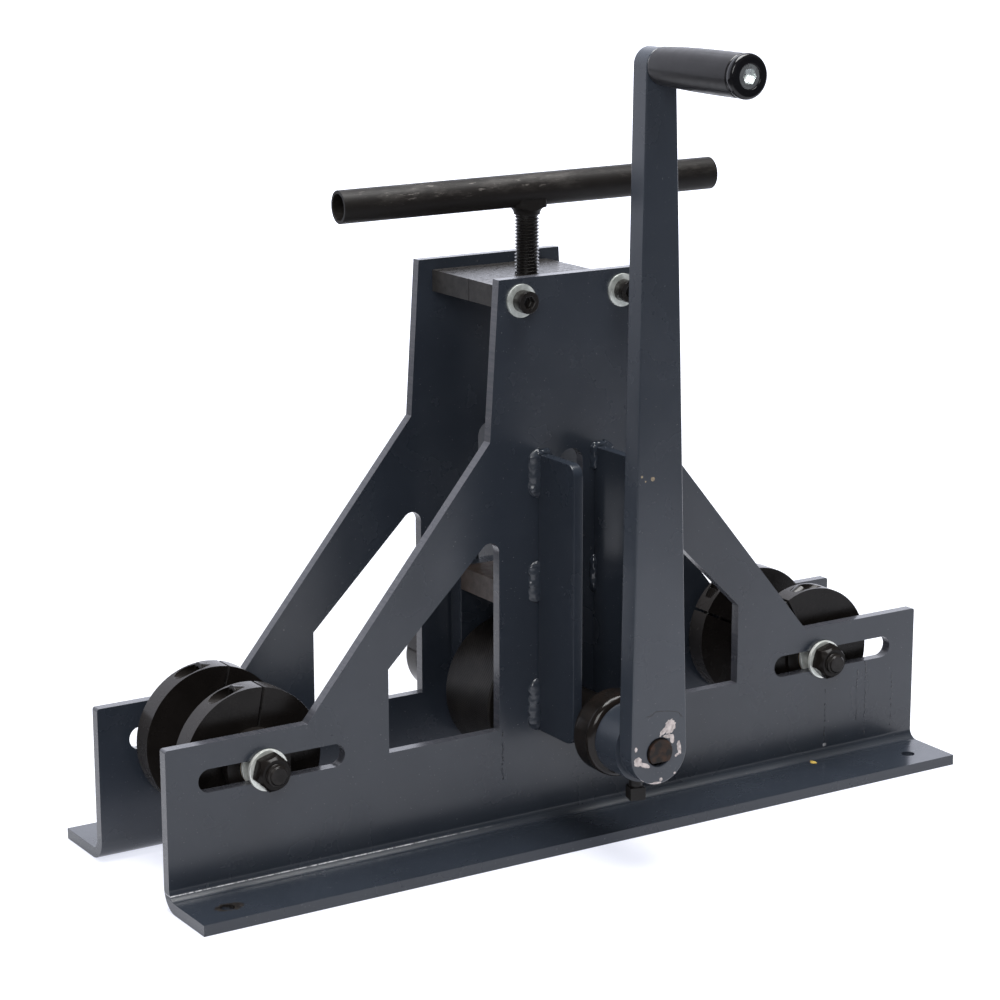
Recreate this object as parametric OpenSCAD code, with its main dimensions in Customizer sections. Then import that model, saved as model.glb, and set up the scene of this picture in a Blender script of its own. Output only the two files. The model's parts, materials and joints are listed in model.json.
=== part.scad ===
// Three-roller tube bender with a T-handled press screw and a crank.
// X runs along the base, +Y to the back, +Z up; the origin is at floor level midway between the plates.

/* [Side plates] */
// Length of the base along X
base_len = 660; // [620:10:760]
// Thickness of the side plates
plate_t = 8; // [6:0.5:10]
// Clear gap between the two side plates
plate_gap = 102; // [96:2:130]
// Height of the low strip that holds the axle slots
strip_h = 116; // [112:1:130]
// Half distance between the feet of the sloping edges
shoulder_x = 220; // [205:1:235]
// Half width of the tower where the slopes meet it
tower_foot_x = 69; // [66:1:80]
// Height at which the slopes meet the tower
tower_foot_z = 299; // [285:1:320]
// Half width of the tower at its top
tower_top_x = 61.5; // [58:0.5:66]
// Height of the tower
tower_h = 415; // [405:5:450]
// Reach of the foot beyond the plate's outer face
foot_reach = 53; // [48:1:70]
// Inner radius of the bend between plate and foot
bend_r = 8; // [4:1:12]
// Radius of the rounded upper corners at the ends of the base
end_corner_r = 2; // [1:1:10]
// Distance of the foot holes from the ends of the base
foot_hole_inset = 28.5; // [16:0.5:50]
// Distance of the foot holes from the plate's outer face
foot_hole_out = 31.5; // [28:0.5:36]
// Diameter of the foot holes
foot_hole_d = 10.5; // [6:0.5:14]

/* [Windows] */
// Half distance between the windows' inner edges
window_in_x = 61.5; // [55:0.5:66]
// Half distance between the windows' outer edges
window_out_x = 154.5; // [130:0.5:160]
// Height of the windows' lower edge
window_low_z = 83; // [70:1:100]
// Height at which the outer edge turns into the slope
window_turn_z = 145; // [130:1:150]
// Angle of the sloping edge above the level
window_slope = 44.5; // [40:0.5:46]
// Radius of the rounded upper corner
window_top_r = 8; // [4:1:12]

/* [Rails] */
// Clear channel between the two rails of a plate
rail_gap = 41; // [36:0.5:46]
// Thickness of a rail
rail_t = 8; // [5:0.5:10]
// Height that a rail stands out from the plate
rail_proud = 47; // [38:1:55]
// Height of the rails' lower ends
rail_low_z = 78; // [60:1:90]
// Length of a rail
rail_len = 208; // [180:1:220]
// Radius of a rail's outer corners
rail_corner_r = 9; // [3:1:14]

/* [Top block and press screw] */
// Width of the top block along X
block_w = 100; // [96:1:116]
// Thickness of the top block
block_t = 16; // [14:1:20]
// Depth of the block's top below the top of the plates
block_drop = 8; // [4:1:14]
// Distance of a block screw from the middle
block_screw_x = 43.3; // [38:0.1:44]
// Length of thread that a block screw has in the block
block_screw_grip = 24; // [16:1:34]
// Depth and width of the centre line scribed on the block's ends
scribe = 0.7; // [0.3:0.1:1]
// Outer diameter of the press screw's thread
screw_d = 18; // [16:1:20]
// Diameter of the screw's lower journal
journal_d = 12; // [10:0.5:14]
// Height of the handle tube's axis above the plates
tee_rise = 53; // [40:1:70]
// Length of the handle tube
tee_len = 307; // [220:1:309]
// Distance that the tube's middle is off the screw's axis
tee_shift = 2.5; // [-2.5:0.5:2.5]
// Outer diameter of the handle tube
tee_d = 24; // [20:0.5:28]
// Turn of the handle at rest, its right end to the front
tee_turn = 4.2; // [0:0.1:90]
// Tilt of the handle on the screw, its right end up
tee_tilt = 1.1; // [0:0.1:3]
// Wall of the handle tube
tee_wall = 2.5; // [1.5:0.5:4]
// Leg length of the weld between screw and tube
tee_weld = 5.5; // [4:0.5:8]

/* [Carriage] */
// Height of the drive shaft's axis
shaft_z = 88; // [84:1:100]
// Travel of the carriage up from rest
travel_up = 188; // [150:1:190]
// Travel of the carriage down from rest
travel_down = 5; // [2:0.5:8]
// Width of the carriage along X
carriage_w = 74; // [64:1:90]
// Height of the press bar's underside above the shaft's axis
bar_rise = 77; // [72:1:90]
// Thickness of the press bar
bar_t = 18; // [15:1:22]
// Thickness of a carriage leg
leg_t = 15; // [14:0.5:18]
// Room between a leg and the side plate
leg_side_gap = 2; // [0.5:0.5:4]
// Wall of the shaft bushes
bush_wall = 3; // [2:0.5:4]
// Thickness of the bushes' flanges
bush_flange_t = 3; // [2:0.5:4]
// Rim of the bushes' flanges beyond their barrels
bush_flange_rim = 3; // [2:0.5:5]
// Distance of a leg screw from the middle
leg_screw_x = 23; // [18:0.5:26]
// Length of thread that a leg screw has in the press bar
leg_screw_grip = 18; // [12:1:24]
// Room between the guide bushes and the plates, for the rails' welds
weld_room = 6; // [4:0.5:10]
// Diameter of the retaining collar under the press bar
retainer_d = 24; // [20:0.5:28]
// Width of the retaining collar
retainer_w = 9; // [7:0.5:10]
// Diameter of the retaining collar's cross pin
retainer_pin_d = 4; // [3:0.5:5]
// Thickness of the thrust washer under the screw's shoulder
thrust_t = 3; // [2:0.5:5]
// Diameter of the thrust washer
thrust_d = 34; // [26:1:44]

/* [Drive roller and shaft] */
// Diameter of the drive shaft
shaft_d = 20; // [18:0.5:22]
// Length of shaft that stands out of the crank arm
shaft_proud = 2; // [0.5:0.5:4]
// Diameter of the knurled drive roller
roller_d = 107; // [96:1:120]
// Chamfer on the drive roller's rims
roller_chamfer = 1.2; // [0.5:0.1:3]
// Width of the roller's key
key_w = 6; // [5:1:8]
// Length of the roller's key
key_len = 45; // [30:1:50]
// Diameter of the thrust rings
ring_d = 62; // [56:1:70]
// Width of the thrust rings
ring_w = 25; // [20:0.5:28]
// Radius of the thrust rings' rounded edges
ring_edge_r = 6; // [2:0.5:8]

/* [Crank] */
// Distance from the shaft's axis to the grip's axis
crank_len = 482.4; // [380:0.1:520]
// Lean of the crank at rest, towards -X
crank_lean = 0.56; // [0:0.01:10]
// Radius of the arm's lower end
arm_low_r = 23.8; // [20:0.1:26]
// Radius of the arm's upper end
arm_top_r = 12.2; // [10:0.1:16]
// Thickness of the arm
arm_t = 16.5; // [12:0.5:20]
// Diameter of the crank hub
hub_d = 53; // [46:1:60]
// Length of the crank hub
hub_len = 25.5; // [25.5:0.5:32]
// Diameter of the hub's set screw
set_screw_d = 10; // [8:1:12]
// Width of the set screw's square head
set_head_w = 11.5; // [10:0.5:14]
// Height of the set screw's head
set_head_h = 9.5; // [6:0.5:12]
// Length of bare set screw between hub and head
set_neck = 7; // [3:0.5:12]
// Turn of the set screw's head
set_head_turn = 16; // [0:1:90]
// Depth of the flat on the shaft for the set screw
flat_depth = 3; // [1:0.1:3.5]

/* [Grip] */
// Length of the grip
grip_len = 97; // [80:1:120]
// Diameter of the grip's outer end
grip_end_d = 30; // [26:0.1:34]
// Diameter of the grip beside the arm
grip_low_d = 25.6; // [23:0.1:30]
// Diameter of the grip's body at its thick end
grip_body_d = 29.4; // [26:0.1:33]
// Diameter of the shoulder screw inside the grip
grip_pin_d = 12; // [10:0.5:14]
// Diameter of the shoulder screw's thread in the arm
grip_thread_d = 10; // [8:1:12]
// Diameter of the shoulder screw's head
grip_head_d = 16; // [15:0.5:18]
// Height of the shoulder screw's head
grip_head_h = 10; // [6:0.5:12]
// Width of the socket in the shoulder screw's head
grip_socket = 9.5; // [6:0.5:10]
// Depth of the head below the grip's end
grip_head_sunk = 0.8; // [0:0.1:3]

/* [Outer rollers] */
// Height of the axle slots and axles
axle_z = 89; // [86:1:95]
// Distance of the axle slots' middles from the ends of the base
slot_inset = 82; // [76:1:84]
// Place of the left axle along X from its slot's middle
left_axle_shift = -4.5; // [-44:0.5:44]
// Place of the right axle along X from its slot's middle
right_axle_shift = -10; // [-44:0.5:44]
// Length of an axle slot from end to end
slot_len = 115; // [112:1:120]
// Diameter of the axle bolts
axle_d = 16; // [14:1:18]
// Room of the axle bolt in its slot
axle_slot_room = 1; // [0.6:0.1:2]
// Width of nut and bolt head across the flats
axle_hex = 24; // [22:1:27]
// Height of the axle nut
nut_h = 11.5; // [10:0.5:18]
// Height of the axle bolt's head
bolt_head_h = 10; // [8:0.5:14]
// Length of bolt that stands out of the nut
bolt_proud = 4; // [2.5:0.5:10]
// Diameter of the nut's round outer face
nut_face_d = 21.6; // [19:0.1:22]
// Height of the bevel round the nut's outer face
nut_bevel = 4.5; // [2:0.5:6]
// Turn of the nuts
nut_turn = 45; // [0:1:60]
// Diameter of the axle washers
axle_washer_d = 30; // [28:1:36]
// Thickness of the axle washers
axle_washer_t = 3; // [2:0.5:4]
// Outer diameter of the spacer tube on the axle bolt
spacer_d = 22; // [20:0.5:24]
// Outer diameter of the bushes in the roller sleeve
sleeve_bush_d = 30; // [27:0.5:34]
// Length of a bush in the roller sleeve
sleeve_bush_len = 25; // [15:1:35]
// Outer diameter of the roller sleeve
sleeve_d = 50; // [44:1:60]

/* [Guide collars] */
// Diameter of the collars
collar_d = 107; // [100:1:116]
// Width of a collar
collar_w = 17; // [15:0.5:18]
// Gap between the collars on the left roller
left_tube_gap = 43; // [10:0.5:52]
// Gap between the collars on the right roller
right_tube_gap = 56.4; // [10:0.2:57]
// Gap between the two halves of a collar
split_gap = 2; // [0.6:0.1:3]
// Diameter of the collar screws
collar_screw_d = 8; // [6:1:8]
// Distance from a collar's rim in to the axis of its screws
collar_screw_inset = 7.5; // [7:0.1:9]
// Distance from the split to the seat of a screw's head
collar_screw_seat = 12; // [9:0.5:13]
// Length of thread that a collar screw has beyond the split
collar_screw_grip = 13; // [8:0.5:16]
// Turn of the left front collar's split from upright
left_front_turn = 10; // [-180:1:180]
// Turn of the left back collar's split from upright
left_back_turn = 14; // [-180:1:180]
// Turn of the right front collar's split from upright
right_front_turn = -28; // [-180:1:180]
// Turn of the right back collar's split from upright
right_back_turn = -64; // [-180:1:180]

/* [Fits] */
// Radial clearance of shafts and screws that turn in a bore
run_fit = 0.06; // [0.02:0.01:0.1]
// Radial clearance between pieces that are fixed together
seat_fit = 0.03; // [0.01:0.01:0.1]
// Clearance between faces that slide past each other
slide_gap = 0.3; // [0.2:0.05:0.6]
// Room of the drive shaft in the plates' upright slots, on the diameter
shaft_slot_room = 1; // [0.6:0.1:2]

/* [Hidden] */
$fn = 96;

LEFT = -1;
RIGHT = 1;
FRONT = -1;
BACK = 1;
PAINT = "#3a404b";
BLACK = "#1b1a1a";
ZINC = "#b9bab5";
BARE = "#5a4f47";
BRONZE = "#9a7443";

// Faces across Y, from the middle outwards
inner_y = plate_gap / 2;
outer_y = inner_y + plate_t;
rail_y = outer_y + rail_proud;
ring_in_y = rail_y + 0.5;
ring_out_y = ring_in_y + ring_w;
arm_in_y = ring_out_y + hub_len;
arm_out_y = arm_in_y + arm_t;
shaft_front_y = arm_out_y + shaft_proud;
shaft_back_y = ring_out_y + shaft_proud;
leg_out_y = inner_y - leg_side_gap;
leg_in_y = leg_out_y - leg_t;
roller_half = leg_in_y - bush_flange_t - slide_gap;
washer_in_y = inner_y - axle_washer_t;
washer_out_y = outer_y + axle_washer_t;
sleeve_half = washer_in_y - slide_gap;

// Axles along X
slot_x = base_len / 2 - slot_inset;
left_axle_x = left_axle_shift - slot_x;
right_axle_x = right_axle_shift + slot_x;

// Heights
block_top = tower_h - block_drop;
block_low = block_top - block_t;
block_mid = block_top - block_t / 2;
tee_z = tower_h + tee_rise;
bar_low = shaft_z + bar_rise;
bar_top = bar_low + bar_t;
screw_low = bar_top + thrust_t + slide_gap;
retainer_top = bar_low - slide_gap;
retainer_low = retainer_top - retainer_w;
journal_end = retainer_low - 2;

// Upright slot of the drive shaft
shaft_slot_r = (shaft_d + shaft_slot_room) / 2;
shaft_slot_low = shaft_z - travel_down - shaft_slot_room / 2;
shaft_slot_top = shaft_z + travel_up + shaft_slot_room / 2;

// Cap screws: head diameter 1.6 d, head height d, socket 0.8 d, as on standard screws
CAP_HEAD = 1.6;
CAP_SOCKET = 0.8;
block_screw_d = 10;
block_washer_d = 24;
block_washer_t = 2;
leg_screw_d = 8;
ring_screw_d = 8;

// Helpers

// A drawing in (x, z) made solid from y0 to y1
module slab_y(y0, y1) {
  translate([0, y1, 0]) rotate([90, 0, 0]) linear_extrude(y1 - y0) children();
}

// A drawing in (y, z) made solid from x0 to x1
module slab_x(x0, x1) {
  translate([x0, 0, 0]) rotate([90, 0, 90]) linear_extrude(x1 - x0) children();
}

// A round bar along Y from y0 to y1
module rod_y(d, y0, y1) {
  translate([0, y0, 0]) rotate([-90, 0, 0]) cylinder(d = d, h = y1 - y0);
}

// A round bar along X from x0 to x1
module rod_x(d, x0, x1) {
  translate([x0, 0, 0]) rotate([0, 90, 0]) cylinder(d = d, h = x1 - x0);
}

// A tube along Y from y0 to y1
module tube_y(d, bore, y0, y1) {
  difference() {
    rod_y(d, y0, y1);
    rod_y(bore, y0 - 1, y1 + 1);
  }
}

// What remains of a square when a round corner is cut, with the corner at the origin
module corner_waste(r) {
  difference() {
    translate([-r, -r]) square(r + 1);
    translate([-r, -r]) circle(r);
  }
}

// A hexagon bar on z = 0, with a round face and a bevel on top
module hex_bar(across, h, face_d, bevel) {
  corner_r = across / 2 / cos(30);
  foot_r = across / 2 * 0.98;
  intersection() {
    cylinder(r = corner_r, h = h, $fn = 6);
    rotate_extrude()
      polygon([[0, 0], [foot_r, 0], [corner_r, 1], [corner_r, h - bevel], [face_d / 2, h], [0, h]]);
  }
}

// A socket head cap screw along -Z, with its head's seat at z = 0
module cap_screw(d, len) {
  head_h = d;
  difference() {
    union() {
      cylinder(d = CAP_HEAD * d, h = head_h);
      translate([0, 0, -len]) cylinder(d = d, h = len + 1);
    }
    translate([0, 0, head_h / 2])
      cylinder(d = CAP_SOCKET * d / cos(30), h = head_h, $fn = 6);
  }
}

// Children repeated at the same place left and right of the middle
module left_and_right(x) {
  for (side = [LEFT, RIGHT]) translate([side * x, 0, 0]) children();
}

// Frame

// Section of a plate with its bent foot, in (y, z), for the front
module foot_section() {
  bend_y = -outer_y - bend_r;
  bend_z = plate_t + bend_r;
  translate([-outer_y, bend_z]) square([plate_t, tower_h - bend_z]);
  translate([-outer_y - foot_reach, 0]) square([foot_reach - bend_r, plate_t]);
  intersection() {
    difference() {
      translate([bend_y, bend_z]) circle(bend_r + plate_t);
      translate([bend_y, bend_z]) circle(bend_r);
    }
    translate([bend_y, 0]) square([bend_r + plate_t, bend_z]);
  }
}

// Side view of a plate, in (x, z)
module plate_outline() {
  end_x = base_len / 2;
  difference() {
    polygon([
      [-end_x, 0], [end_x, 0], [end_x, strip_h], [shoulder_x, strip_h],
      [tower_foot_x, tower_foot_z], [tower_top_x, tower_h],
      [-tower_top_x, tower_h], [-tower_foot_x, tower_foot_z],
      [-shoulder_x, strip_h], [-end_x, strip_h]
    ]);
    for (side = [LEFT, RIGHT])
      scale([side, 1]) translate([end_x, strip_h]) corner_waste(end_corner_r);
  }
}

// Window on the right of a plate, in (x, z)
module window_outline() {
  top_x = window_in_x + window_top_r;
  slope_at_top = window_turn_z + (window_out_x - top_x) * tan(window_slope);
  top_z = slope_at_top - window_top_r / cos(window_slope);
  // The straight edges end just inside the round corner
  inside_r = window_top_r - 0.05;
  slope_end = [top_x, top_z] + inside_r * [sin(window_slope), cos(window_slope)];
  polygon([
    [window_in_x, window_low_z], [window_out_x, window_low_z], [window_out_x, window_turn_z],
    slope_end, [top_x, top_z], [top_x - inside_r, top_z]
  ]);
  translate([top_x, top_z]) circle(window_top_r);
}

// Slot between two centres at (x0, z0) and (x1, z1), level or upright, in (x, z)
module slot_outline(x0, z0, x1, z1, r) {
  for (end = [[x0, z0], [x1, z1]]) translate(end) circle(r);
  if (z0 == z1) translate([x0, z0 - r]) square([x1 - x0, 2 * r]);
  else translate([x0 - r, z0]) square([2 * r, z1 - z0]);
}

module plate_cuts() {
  axle_slot_r = (axle_d + axle_slot_room) / 2;
  half_run = slot_len / 2 - axle_slot_r;
  for (side = [LEFT, RIGHT]) {
    slot_outline(side * slot_x - half_run, axle_z, side * slot_x + half_run, axle_z, axle_slot_r);
    scale([side, 1]) window_outline();
    translate([side * block_screw_x, block_mid]) circle(d = block_screw_d + 1);
  }
  slot_outline(0, shaft_slot_low, 0, shaft_slot_top, shaft_slot_r);
}

module side_plate() {
  color(PAINT) difference() {
    intersection() {
      slab_x(-base_len / 2, base_len / 2) foot_section();
      slab_y(-outer_y - foot_reach, -inner_y) plate_outline();
    }
    slab_y(-outer_y - 1, -inner_y + 1) plate_cuts();
    left_and_right(base_len / 2 - foot_hole_inset)
      translate([0, -outer_y - foot_hole_out, -1]) cylinder(d = foot_hole_d, h = plate_t + 2);
  }
}

// Rail on the right of the front slot
module rail() {
  rail_top = rail_low_z + rail_len;
  color(PAINT) slab_x(rail_gap / 2, rail_gap / 2 + rail_t) difference() {
    translate([-rail_y, rail_low_z]) square([rail_proud, rail_len]);
    translate([-rail_y, rail_top]) scale([-1, 1]) corner_waste(rail_corner_r);
    translate([-rail_y, rail_low_z]) scale([-1, -1]) corner_waste(rail_corner_r);
  }
}

module rail_at(side, face) {
  scale([side, -face, 1]) rail();
}

module top_block() {
  color(BARE) difference() {
    translate([-block_w / 2, -inner_y, block_low]) cube([block_w, plate_gap, block_t]);
    translate([0, 0, block_low - 1]) cylinder(d = screw_d + 2 * run_fit, h = block_t + 2);
    left_and_right(block_screw_x) for (face = [FRONT, BACK])
      translate([0, 0, block_mid]) scale([1, face, 1])
        rod_y(block_screw_d + 2 * seat_fit, inner_y - block_screw_grip - 2, inner_y + 1);
    left_and_right(block_w / 2)
      translate([-scribe, -scribe / 2, block_low - 1]) cube([2 * scribe, scribe, block_t + 2]);
  }
}

// Four places of the block's screws, with +Z pointing out of the plate at its face
module at_block_screws() {
  left_and_right(block_screw_x) for (face = [FRONT, BACK])
    translate([0, face * outer_y, block_mid]) rotate([-face * 90, 0, 0]) children();
}

module block_screws() {
  color(BLACK) at_block_screws()
    translate([0, 0, block_washer_t])
      cap_screw(block_screw_d, block_washer_t + plate_t + block_screw_grip);
}

module block_washers() {
  color(ZINC) at_block_screws() difference() {
    cylinder(d = block_washer_d, h = block_washer_t);
    translate([0, 0, -1]) cylinder(d = block_screw_d + 0.6, h = block_washer_t + 2);
  }
}

// Carriage

module press_bar() {
  color(BARE) difference() {
    translate([-carriage_w / 2, -leg_in_y, bar_low]) cube([carriage_w, 2 * leg_in_y, bar_t]);
    translate([0, 0, bar_low - 1]) cylinder(d = journal_d + 2 * run_fit, h = bar_t + 2);
    left_and_right(leg_screw_x) for (face = [FRONT, BACK])
      translate([0, 0, bar_low + bar_t / 2]) scale([1, face, 1])
        rod_y(leg_screw_d + 2 * seat_fit, leg_in_y - leg_screw_grip - 2, leg_in_y + 1);
  }
}

module leg_outline() {
  translate([0, shaft_z]) circle(d = carriage_w);
  translate([-carriage_w / 2, shaft_z]) square([carriage_w, bar_top - shaft_z]);
}

// Depth of the counterbore for a leg screw, so that the head is just below the leg's face
leg_bore_depth = leg_screw_d + 0.4;

module leg() {
  bush_d = shaft_d + 2 * bush_wall;
  color(PAINT) difference() {
    slab_y(leg_in_y, leg_out_y) leg_outline();
    translate([0, 0, shaft_z]) rod_y(bush_d + 2 * seat_fit, leg_in_y - 1, leg_out_y + 1);
    left_and_right(leg_screw_x) translate([0, 0, bar_low + bar_t / 2]) {
      rod_y(leg_screw_d + 0.8, leg_in_y - 1, leg_out_y + 1);
      rod_y(CAP_HEAD * leg_screw_d + 0.8, leg_out_y - leg_bore_depth, leg_out_y + 1);
    }
  }
}

module leg_screws() {
  color(BLACK) left_and_right(leg_screw_x) for (face = [FRONT, BACK])
    translate([0, face * (leg_out_y - leg_bore_depth), bar_low + bar_t / 2])
      rotate([-face * 90, 0, 0])
        cap_screw(leg_screw_d, leg_t - leg_bore_depth + leg_screw_grip);
}

module leg_bushes() {
  bush_d = shaft_d + 2 * bush_wall;
  color(BRONZE) for (face = [FRONT, BACK])
    translate([0, 0, shaft_z]) scale([1, face, 1]) difference() {
      union() {
        rod_y(bush_d, leg_in_y - 1, leg_out_y);
        rod_y(bush_d + 2 * bush_flange_rim, leg_in_y - bush_flange_t, leg_in_y);
      }
      rod_y(shaft_d + 2 * run_fit, leg_in_y - bush_flange_t - 1, leg_out_y + 1);
    }
}

// Round bush on the shaft that runs between two rails
module guide_bush(face) {
  color(BLACK) translate([0, 0, shaft_z]) scale([1, face, 1])
    tube_y(rail_gap - 2 * slide_gap, shaft_d + 2 * run_fit, outer_y + weld_room, rail_y);
}

module thrust_washer() {
  color(ZINC) translate([0, 0, bar_top]) difference() {
    cylinder(d = thrust_d, h = thrust_t);
    translate([0, 0, -1]) cylinder(d = journal_d + 0.6, h = thrust_t + 2);
  }
}

// Press screw and handle

module on_tee() {
  translate([0, 0, tee_z]) rotate([0, -tee_tilt, -tee_turn]) translate([tee_shift, 0, 0]) children();
}

module tee_tube_space() {
  on_tee() rod_x(tee_d + 2 * seat_fit, -tee_len / 2, tee_len / 2);
}

module press_screw() {
  pin_z = (retainer_top + retainer_low) / 2;
  color(BLACK) difference() {
    union() {
      translate([0, 0, screw_low]) cylinder(d = screw_d, h = tee_z - screw_low);
      translate([0, 0, journal_end]) cylinder(d = journal_d, h = screw_low - journal_end + 1);
    }
    tee_tube_space();
    translate([0, 0, pin_z]) rod_x(retainer_pin_d + 2 * seat_fit, -journal_d, journal_d);
  }
}

module tee_handle() {
  color(BLACK) on_tee() difference() {
    rod_x(tee_d, -tee_len / 2, tee_len / 2);
    rod_x(tee_d - 2 * tee_wall, -tee_len / 2 - 1, tee_len / 2 + 1);
  }
}

// Fillet weld with a hollow face, between the screw and the underside of the tube
module tee_weld_bead() {
  bead_low = tee_z - tee_d / 2 - tee_weld;
  bore_r = screw_d / 2 + seat_fit;
  reach = bore_r + tee_weld;
  width = tee_d - 3;
  rise = tee_weld + tee_d / 4;
  color(BLACK) difference() {
    intersection() {
      translate([0, 0, bead_low]) rotate_extrude() difference() {
        translate([bore_r, 0]) square([tee_weld, rise]);
        translate([reach + 0.6, 0]) circle(tee_weld);
      }
      rotate([0, 0, -tee_turn])
        translate([-reach - 1, -width / 2, bead_low - 1]) cube([2 * reach + 2, width, rise + 2]);
    }
    tee_tube_space();
  }
}

module retaining_collar() {
  color(BLACK) translate([0, 0, retainer_low]) difference() {
    cylinder(d = retainer_d, h = retainer_w);
    translate([0, 0, -1]) cylinder(d = journal_d + 2 * seat_fit, h = retainer_w + 2);
    translate([0, 0, retainer_w / 2])
      rod_x(retainer_pin_d + 2 * seat_fit, -retainer_d, retainer_d);
  }
}

module retaining_pin() {
  reach = retainer_d / 2 - 0.5;
  color(ZINC) translate([0, 0, retainer_low + retainer_w / 2]) rod_x(retainer_pin_d, -reach, reach);
}

// Drive shaft, drive roller and crank, drawn about the shaft's axis

module on_shaft() {
  translate([0, 0, shaft_z]) rotate([0, -crank_lean, 0]) children();
}

// Key lies half in the shaft and half in the roller
key_low = shaft_d / 2 - key_w / 2;

module key_space(room) {
  translate([-key_w / 2 - room, -key_len / 2 - room, key_low - room])
    cube([key_w + 2 * room, key_len + 2 * room, key_w + 2 * room]);
}

module drive_shaft() {
  flat_r = shaft_d / 2 - flat_depth;
  color(BARE) on_shaft() difference() {
    rod_y(shaft_d, -shaft_front_y, shaft_back_y);
    translate([-shaft_d, -shaft_front_y - 1, -flat_r - shaft_d])
      cube([2 * shaft_d, shaft_front_y - ring_out_y + 1, shaft_d]);
    key_space(seat_fit);
  }
}

module drive_roller() {
  r = roller_d / 2;
  c = roller_chamfer;
  color(BLACK) on_shaft() difference() {
    rotate([90, 0, 0]) rotate_extrude() polygon([
      [shaft_d / 2 + seat_fit, -roller_half], [r - c, -roller_half], [r, c - roller_half],
      [r, roller_half - c], [r - c, roller_half], [shaft_d / 2 + seat_fit, roller_half]
    ]);
    translate([-key_w / 2 - seat_fit, -roller_half - 1, 0])
      cube([key_w + 2 * seat_fit, 2 * roller_half + 2, key_low + key_w + seat_fit]);
  }
}

module roller_key() {
  color(ZINC) on_shaft() key_space(0);
}

// Ring section with two round outer edges, in (radius, width)
module ring_section() {
  flat_r = ring_d / 2 - ring_edge_r;
  translate([shaft_d / 2 + seat_fit, 0]) square([flat_r - shaft_d / 2 - seat_fit, ring_w]);
  translate([flat_r, ring_edge_r]) square([ring_edge_r, ring_w - 2 * ring_edge_r]);
  for (edge = [ring_edge_r, ring_w - ring_edge_r])
    translate([flat_r, edge]) intersection() {
      circle(ring_edge_r);
      translate([-0.01, -ring_edge_r]) square(2 * ring_edge_r);
    }
}

module thrust_ring(face) {
  color(BLACK) on_shaft() difference() {
    scale([1, face, 1]) translate([0, ring_out_y, 0]) rotate([90, 0, 0]) rotate_extrude() ring_section();
    translate([0, face * (ring_in_y + ring_w / 2), -ring_d])
      cylinder(d = ring_screw_d + 2 * seat_fit, h = ring_d);
  }
}

module ring_set_screws() {
  seat_r = shaft_d / 2 + 0.1;
  grub_len = ring_d / 2 - seat_r - 1.5;
  color(BLACK) on_shaft() for (face = [FRONT, BACK])
    translate([0, face * (ring_in_y + ring_w / 2), -seat_r - grub_len]) difference() {
      cylinder(d = ring_screw_d, h = grub_len);
      translate([0, 0, -1]) cylinder(d = ring_screw_d / 2 / cos(30), h = 5, $fn = 6);
    }
}

module crank_hub() {
  color(PAINT) on_shaft() difference() {
    rod_y(hub_d, -arm_in_y, -ring_out_y);
    rod_y(shaft_d + 2 * seat_fit, -arm_in_y - 1, -ring_out_y + 1);
    translate([0, -ring_out_y - hub_len / 2, -hub_d])
      cylinder(d = set_screw_d + 2 * seat_fit, h = hub_d);
  }
}

module arm_outline() {
  spread = asin((arm_low_r - arm_top_r) / crank_len);
  low = arm_low_r * [cos(spread), sin(spread)];
  top = arm_top_r * [cos(spread), sin(spread)] + [0, crank_len];
  circle(arm_low_r);
  translate([0, crank_len]) circle(arm_top_r);
  polygon([low, top, [0, crank_len], [-top[0], top[1]], [-low[0], low[1]], [0, 0]]);
}

module crank_arm() {
  color(PAINT) on_shaft() difference() {
    slab_y(-arm_out_y, -arm_in_y) arm_outline();
    rod_y(shaft_d + 2 * seat_fit, -arm_out_y - 1, -arm_in_y + 1);
    translate([0, 0, crank_len]) rod_y(grip_thread_d + 2 * seat_fit, -arm_out_y - 1, -arm_in_y + 1);
  }
}

module crank_set_screw() {
  seat_r = shaft_d / 2 - flat_depth + 0.05;
  head_r = hub_d / 2 + set_neck;
  color(BLACK) on_shaft() translate([0, -ring_out_y - hub_len / 2, 0]) {
    translate([0, 0, -head_r - 1]) cylinder(d = set_screw_d, h = head_r + 1 - seat_r);
    rotate([0, 0, -set_head_turn])
      translate([-set_head_w / 2, -set_head_w / 2, -head_r - set_head_h])
        cube([set_head_w, set_head_w, set_head_h]);
  }
}

// Grip, drawn with its foot on z = 0

module at_grip() {
  on_shaft() translate([0, -arm_out_y, crank_len]) rotate([90, 0, 0]) children();
}

grip_foot = slide_gap;
grip_seat = grip_len - grip_head_sunk - grip_head_h;

// Radius of the grip's body, which swells from the arm outwards
function body_r(share) = (grip_low_d + (grip_body_d - grip_low_d) * (1 - pow(1 - share, 3))) / 2;

module grip() {
  groove = grip_len - 7;
  end_r = grip_end_d / 2;
  body_len = groove - 0.8 - (grip_foot + 1);
  color(BLACK) at_grip() difference() {
    rotate_extrude() polygon([
      [0, grip_foot], [body_r(0) - 1, grip_foot],
      for (share = [0:0.1:1]) [body_r(share), grip_foot + 1 + share * body_len],
      [end_r - 0.9, groove], [end_r - 0.4, groove + 1.2], [end_r, groove + 2.6],
      [end_r, grip_len - 2.6], [end_r - 0.8, grip_len - 0.9], [end_r - 2.6, grip_len], [0, grip_len]
    ]);
    cylinder(d = grip_pin_d + 2 * run_fit, h = grip_len);
    translate([0, 0, grip_seat - slide_gap]) cylinder(d = grip_head_d + 2 * slide_gap, h = grip_len);
  }
}

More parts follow.
